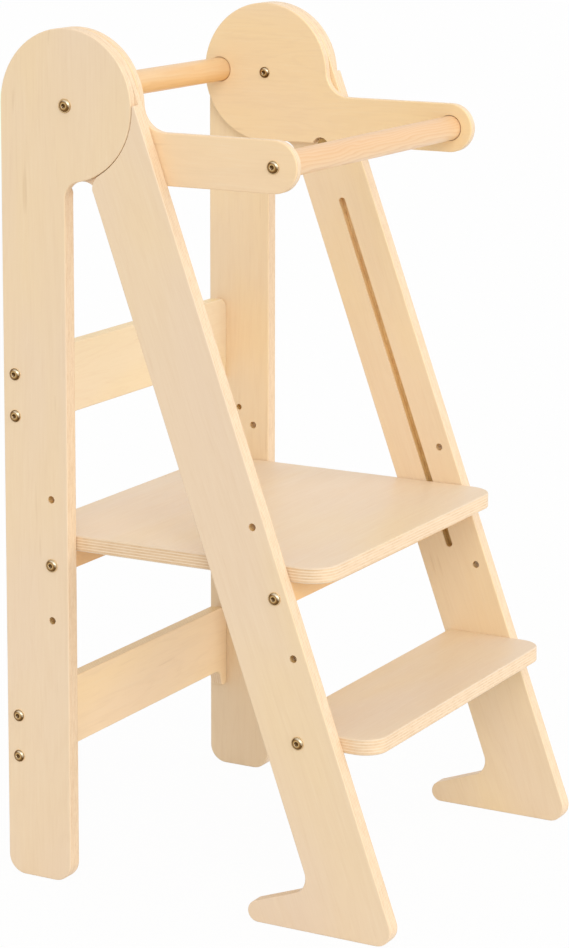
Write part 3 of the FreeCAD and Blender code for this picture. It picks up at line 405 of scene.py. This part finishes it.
def moulded(name, pale, dark, roughness, grain):
    g = Surface(name)
    speck = g.noise(g.place, grain, 4.0, 0.7)
    g.link("Base Color", g.ramp(speck, ((0.3, dark), (0.6, pale))))
    g.link("Roughness", g.span(speck, 0.3, 0.7, roughness - 0.08, roughness + 0.08))
    g.set({"Specular IOR Level": 0.35})
    g.bump(speck, 0.18, 0.3 * MM)
    return g.material


# colours by radius from the socket's floor to the flange's edge: painted shade in the socket, painted
# highlights on the socket's rim and on the flange, a painted dark reflection across the dome, painted shade
# and dirt in the groove, and painted shade at the flange's outer edge
BRASS_PAINTED_RINGS_AND_DIRT = (
    (0.20, (84, 58, 28)),
    (0.29, (112, 82, 44)),
    (0.34, (214, 182, 130)),
    (0.42, (182, 144, 90)),
    (0.53, (134, 98, 54)),
    (0.63, (96, 66, 32)),
    (0.72, (128, 94, 52)),
    (0.75, (100, 70, 36)),
    (0.80, (228, 200, 154)),
    (0.87, (208, 172, 120)),
    (0.90, (160, 122, 72)),
)
# a painted highlight and a painted shade laid on by the way a face is turned, then tarnish
BRASS_PAINTED_HIGHLIGHT = (250, 234, 204)
BRASS_PAINTED_SHADE = (120, 88, 48)
BRASS_TARNISH = (132, 98, 54)


def turned_brass(name):
    """Plated brass on a bolt's head, with painted highlights on its rims and flange, a painted dark
    reflection across its dome, painted shade and dirt in the groove, painted shade in the socket,
    and a painted highlight and shade by the way each face is turned. A ring's place is its radius
    as a share of 8 mm."""
    g = Surface(name)
    at = g.parts(g.place)
    square = g.math("MULTIPLY_ADD", at[2], at[2], g.times(at[1], at[1]))
    away = g.math("SQRT", square)
    cloud = g.noise(g.place, 420, 4.0, 0.65)
    wander = g.math("SUBTRACT", cloud, 0.5)
    colour = g.ramp(g.math("MULTIPLY_ADD", wander, 0.05, g.times(away, 1 / (8 * MM))), BRASS_PAINTED_RINGS_AND_DIRT)
    slopes = g.parts(g.normal)
    # painted highlight on faces turned up and to the front, painted shade on faces turned down and back
    painted_light_facing = g.math("MULTIPLY_ADD", slopes[1], -0.55, g.times(slopes[2], 0.8))
    colour = g.mix(g.span(painted_light_facing, 0.25, 0.62, 0.0, 0.75), colour, BRASS_PAINTED_HIGHLIGHT)
    colour = g.mix(g.span(painted_light_facing, -0.05, -0.6, 0.0, 0.35), colour, BRASS_PAINTED_SHADE)
    g.link("Base Color", g.mix(g.span(cloud, 0.55, 0.75, 0.0, 0.35), colour, BRASS_TARNISH))
    g.link("Roughness", g.span(cloud, 0.3, 0.7, 0.2, 0.34))
    g.set({"Metallic": 1.0})
    g.bump(g.math("SINE", g.times(away, 16000.0)), 0.06, 0.1 * MM)
    return g.material


# ---------------------------------------------------------------- materials on the CAD pieces


def paint(node, material):
    mesh = frame["nodes"][node].data
    mesh.materials.clear()
    mesh.materials.append(material)


head_low, head_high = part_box("head_pivot_sleeves")
_, HEAD_Y, HEAD_Z = (head_low + head_high) / 2
LEAN = math.radians(20)

# where the holes and the slot are cut: heights, and distances across a leg from the head pivot
HOLE_HEIGHTS = (0.282, 0.411)
HOLE_RADIUS = 4 * MM
REAR_HOLES = 21 * MM
FRONT_HOLES = 64.3 * MM
LEG_CENTRE = 39.75 * MM
SPARE_HOLE = (HEAD_Y + LEG_CENTRE, 0.4305, 3.5 * MM)
SLOT_POINT = 0.3


def on_front_leg(across, height):
    """(Y, Z) of the point this far across the front leg, at this height."""
    run = (HEAD_Z + across * math.sin(LEAN) - height) / math.cos(LEAN)
    return HEAD_Y - run * math.sin(LEAN) - across * math.cos(LEAN), height


rear_bores = [(HEAD_Y + REAR_HOLES, z, HOLE_RADIUS) for z in HOLE_HEIGHTS] + [SPARE_HOLE]
front_bores = [(*on_front_leg(FRONT_HOLES, z), HOLE_RADIUS) for z in HOLE_HEIGHTS]
slot = (on_front_leg(LEG_CENTRE, SLOT_POINT), (-math.sin(LEAN), -math.cos(LEAN)), HOLE_RADIUS)

for side, seed, leg_shift, arm_shift in (
    ("left", 3.1, (3, 3, 4), (9, 4, -5)),
    ("right", 8.6, (7, 8, 5), (10, 7, -3)),
):
    rear, front, arm = "rear_leg_" + side, "front_leg_" + side, "guard_arm_" + side
    paint(rear, plywood(rear, "x", 13, "z", seed, leg_shift, bores=rear_bores))
    made = plywood(front, "x", 13, "z", seed + 1.7, leg_shift, LEAN, bores=front_bores, slot=slot)
    paint(front, made)
    paint(arm, plywood(arm, "x", 7, "y", seed + 4, arm_shift))
# the rails' edges facing up and down get golden plies and a painted light that lifts them out of shade
for name, seed, shift, strong in (
    ("upper_back_rail", 2.2, (5, 11, 11), 0.35),
    ("lower_back_rail", 5.9, (16, 14, 8), 0.9),
):
    paint(name, plywood(name, "y", 11, "x", seed, shift, bold="z", strong=strong, golden_and_lit=0.85))
for name, seed, lines, strong in (
    ("platform_board", 1.3, 0.2, 0.6),
    ("step_board", 6.4, PLAIN_LINES, 0.3),
):
    paint(name, plywood(name, "z", 11, "x", seed, (-4, -1, 3), lines=lines, bold="x", strong=strong))
# the cross bars are turned orange: painted shade and bounce light where they sit under the platform
for name, seed in (("front_cross_bar", 4.4), ("rear_cross_bar", 7.7)):
    paint(name, plywood(name, "y", 13, "x", seed, (12, -8, -34)))

# node, width of a ring, how plainly the rings show, their slope, seed, pale and deep colour, the
# underside's painted light and shade colour and how far the underside turns to that
BARS = (
    ("guard_front_dowel", 3.0 * MM, 0.36, 0.9, 1.9, (233, 196, 155), (229, 189, 145), (254, 220, 177), 0.95),
    ("guard_rear_dowel", 3.4 * MM, 0.18, 2.3, 6.3, (232, 197, 152), (229, 190, 141), (250, 194, 115), 0.85),
    ("step_dowels", 2.0 * MM, 0.30, 0.6, 3.3, (246, 211, 170), (240, 203, 159), (240, 203, 159), 0.0),
)
for name, *looks in BARS:
    paint(name, turned_wood(name, *looks))

finishes = {
    "zinc_steel": metal("zinc_steel", (186, 184, 178), (150, 148, 142), 0.34),
    "nylon": moulded("nylon", (236, 231, 218), (226, 220, 206), 0.5, 700),
    "bumper": moulded("bumper_khaki", (186, 152, 96), (160, 126, 74), 0.68, 900),
}
for part in frame["record"]["subparts"]:
    if part["material_slot"] in finishes:
        paint(part["node"], finishes[part["material_slot"]])

# ---------------------------------------------------------------- bolts

AROUND = 36
SHARP = math.radians(35)

# a head's outline in mm, from its seat to the socket's floor: height, radius, whether six-sided
HEAD_HEIGHT = 3.0
HEAD = (
    (0.0, 7.0, False),
    (0.55, 7.0, False),
    (0.85, 6.9, False),
    (1.0, 6.65, False),
    (1.0, 6.2, False),
    (0.9, 5.95, False),
    (1.05, 5.8, False),
    (1.5, 5.65, False),
    (2.0, 5.3, False),
    (2.45, 4.7, False),
    (2.8, 4.0, False),
    (2.97, 3.3, False),
    (HEAD_HEIGHT, 2.85, False),
    (HEAD_HEIGHT, 2.45, True),
    (2.85, 2.3, True),
    (1.1, 2.3, True),
    (1.0, 2.1, True),
)
SOCKET_FLOOR = 0.8

# the bevel at a shank's end, the bore of a sleeve and how far below the seat it is closed, and the
# radius of a shoulder, all in mm
SHANK_BEVEL = 0.5
SLEEVE_BORE = 3.0
SLEEVE_CLOSED = 1.0
SHOULDER_RADIUS = 3.95


def lathed(name, outline, start, end, outwards):
    """A closed solid turned about X, with poles at the heights start and end (mm)."""
    made = bmesh.new()
    loops = []
    for height, radius, six in outline:
        loop = []
        for i in range(AROUND):
            turn = math.tau * i / AROUND
            reach = radius * MM
            if six:
                reach *= math.cos(math.pi / 6) / math.cos(turn % (math.pi / 3) - math.pi / 6)
            y, z = reach * math.cos(turn), reach * math.sin(turn)
            loop.append(made.verts.new((height * MM * outwards, y * outwards, z)))
        loops.append(loop)
    for near, far in zip(loops, loops[1:]):
        for i in range(AROUND):
            j = (i + 1) % AROUND
            made.faces.new((near[i], near[j], far[j], far[i]))
    for loop, height in ((loops[0], start), (loops[-1], end)):
        pole = made.verts.new((height * MM * outwards, 0, 0))
        for i in range(AROUND):
            made.faces.new((loop[i], loop[(i + 1) % AROUND], pole))
    bmesh.ops.recalc_face_normals(made, faces=made.faces)
    mesh = bpy.data.meshes.new(name)
    made.to_mesh(mesh)
    made.free()
    for face in mesh.polygons:
        face.use_smooth = True
    mesh.set_sharp_from_angle(angle=SHARP)
    return mesh


def solids_of(node):
    """(lowest, highest) corner of each separate solid in a CAD node."""
    made = bmesh.new()
    made.from_mesh(frame["nodes"][node].data)
    bmesh.ops.remove_doubles(made, verts=made.verts, dist=1e-6)
    waiting = set(made.verts)
    boxes = []
    while waiting:
        group = [waiting.pop()]
        for vertex in group:
            for edge in vertex.link_edges:
                other = edge.other_vert(vertex)
                if other in waiting:
                    waiting.remove(other)
                    group.append(other)
        boxes.append([[f(v.co[i] for v in group) for i in range(3)] for f in (min, max)])
    made.free()
    return sorted(boxes)


leg_low, leg_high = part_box("rear_leg_right")
leg_through = (leg_high[0] - leg_low[0]) / MM

# node, shank radius, length of the shoulder that fills the leg's hole, whether it is a bored
# sleeve, 1 for a head outwards and -1 for one inwards, and the head's width as a share of HEAD
BOLTS = (
    ("upper_rail_bolts", 3.0, None, False, 1, 0.93),
    ("lower_rail_bolts", 3.0, None, False, 1, 0.93),
    ("step_bolts", 3.0, None, False, 1, 1.0),
    ("front_dowel_bolts", 3.0, None, False, 1, 1.0),
    ("front_bar_bolts", 3.0, leg_through, False, 1, 1.0),
    ("platform_pivot_bolts", 3.0, leg_through, False, 1, 1.0),
    ("head_pivot_sleeves", 4.0, None, True, 1, 1.05),
    ("head_pivot_screws", 3.0, None, False, -1, 0.9),
)
brass = turned_brass("brass_plated")
for node, shank, shoulder, bored, outwards, width in BOLTS:
    for number, (low, high) in enumerate(solids_of(node)):
        facing = outwards if low[0] > 0 else -outwards
        long = (high[0] - low[0]) / MM - HEAD_HEIGHT
        if bored:
            start = -SLEEVE_CLOSED
            outline = [(start, SLEEVE_BORE, False), (-long, SLEEVE_BORE, False), (-long, shank, False)]
        else:
            start = -long
            outline = [(start, shank - SHANK_BEVEL, False), (start + SHANK_BEVEL, shank, False)]
        if shoulder:
            outline += [(-shoulder, shank, False), (-shoulder, SHOULDER_RADIUS, False)]
        outline.append((0.0, SHOULDER_RADIUS if shoulder else shank, False))
        outline += [(height, radius if six else radius * width, six) for height, radius, six in HEAD]
        name = "%s_%d" % (node[:-1], number)
        bolt = bpy.data.objects.new(name, lathed(name, outline, start, SOCKET_FLOOR, facing))
        seat = high[0] - HEAD_HEIGHT * MM if facing > 0 else low[0] + HEAD_HEIGHT * MM
        bolt.location = (seat, (low[1] + high[1]) / 2, (low[2] + high[2]) / 2)
        bolt.data.materials.append(brass)
        scene.collection.objects.link(bolt)
        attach(bolt, body_of(frame["nodes"][node])[0])
        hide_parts(node)

# ---------------------------------------------------------------- floor and surroundings

FLOOR_REACH = 12
FLOOR_DROP = 0.4 * MM
FLOOR_ALBEDO = (0.80, 0.80, 0.79, 1)
FLOOR_WHITENED = 0.96
AMBIENT = (1.0, 0.99, 0.975, 1)
AMBIENT_STRENGTH = 0.71
WHITE = (1, 1, 1, 1)

made = bmesh.new()
bmesh.ops.create_grid(made, x_segments=2, y_segments=2, size=FLOOR_REACH)
floor = bpy.data.objects.new("floor", bpy.data.meshes.new("floor"))
made.to_mesh(floor.data)
made.free()
floor.location.z = -FLOOR_DROP
scene.collection.objects.link(floor)

# the floor catches a faint shadow but looks almost as white as the backdrop
g = Surface("floor_white")
g.set({"Roughness": 0.9, "Base Color": FLOOR_ALBEDO, "Specular IOR Level": 0.1})
seen = g.seen_by("Is Camera Ray", "Is Glossy Ray")
glow = g.node("ShaderNodeEmission", None, {"Color": WHITE, "Strength": 1.0})
sources = {0: g.times(seen, FLOOR_WHITENED), 1: g.shader.outputs[0], 2: glow.outputs[0]}
blend = g.node("ShaderNodeMixShader", sources)
g.links.new(blend.outputs[0], g.output.inputs[0])
floor.data.materials.append(g.material)

scene.world = bpy.data.worlds.new("studio")
scene.world.use_nodes = True
sky = Tree(scene.world.node_tree)
seen = sky.seen_by("Is Camera Ray", "Is Glossy Ray", "Is Transmission Ray")
ambient = sky.node("ShaderNodeBackground", None, {0: AMBIENT, 1: AMBIENT_STRENGTH})
white = sky.node("ShaderNodeBackground", None, {0: WHITE, 1: 1.0})
blend = sky.node("ShaderNodeMixShader", {0: seen, 1: ambient.outputs[0], 2: white.outputs[0]})
sky.node("ShaderNodeOutputWorld", {0: blend.outputs[0]})

# ---------------------------------------------------------------- lamps

LAMP_COLOUR = (1.0, 0.985, 0.96)
LAMP_DISTANCE = 4


def sun(name, towards, strength, spread):
    """A soft distant lamp that stands in the direction given; spread is its width in degrees."""
    lamp = bpy.data.lights.new(name, "SUN")
    lamp.energy = strength
    lamp.angle = math.radians(spread)
    lamp.color = LAMP_COLOUR
    made = bpy.data.objects.new(name, lamp)
    made.rotation_euler = Vector(towards).to_track_quat("Z", "Y").to_euler()
    made.location = Vector(towards) * LAMP_DISTANCE
    scene.collection.objects.link(made)


sun("key", (-0.66, -0.52, 0.55), 0.92, 40)
sun("front", (0.15, -0.88, 0.45), 0.92, 50)

# ---------------------------------------------------------------- camera

# the photograph's height, the lens and the row its axis meets, in pixels
PHOTO_HEIGHT = 948
FOCAL = 3029.96
AXIS_ROW = 250
SENSOR = 36
FAR_CLIP = 50
AZIMUTH, ELEVATION, ROLL = (math.radians(v) for v in (-61.1016, 8.7695, 0.1118))
STAND = Vector((-2.78108, HEAD_Y - 1.66749, 1.14468))

back = Vector(
    (
        math.sin(AZIMUTH) * math.cos(ELEVATION),
        -math.cos(AZIMUTH) * math.cos(ELEVATION),
        math.sin(ELEVATION),
    )
)
level = (-back).cross(Vector((0, 0, 1))).normalized()
upright = level.cross(-back)
right = level * math.cos(ROLL) + upright * math.sin(ROLL)
up = upright * math.cos(ROLL) - level * math.sin(ROLL)
camera = bpy.data.objects.new("camera", bpy.data.cameras.new("camera"))
camera.data.sensor_width = SENSOR
camera.data.lens = SENSOR * FOCAL / PHOTO_HEIGHT
camera.data.shift_y = (AXIS_ROW - PHOTO_HEIGHT / 2) / PHOTO_HEIGHT
camera.data.clip_end = FAR_CLIP
camera.matrix_world = Matrix.Translation(STAND) @ Matrix((right, up, back)).transposed().to_4x4()
scene.collection.objects.link(camera)
scene.camera = camera
scene.view_settings.view_transform = "Standard"
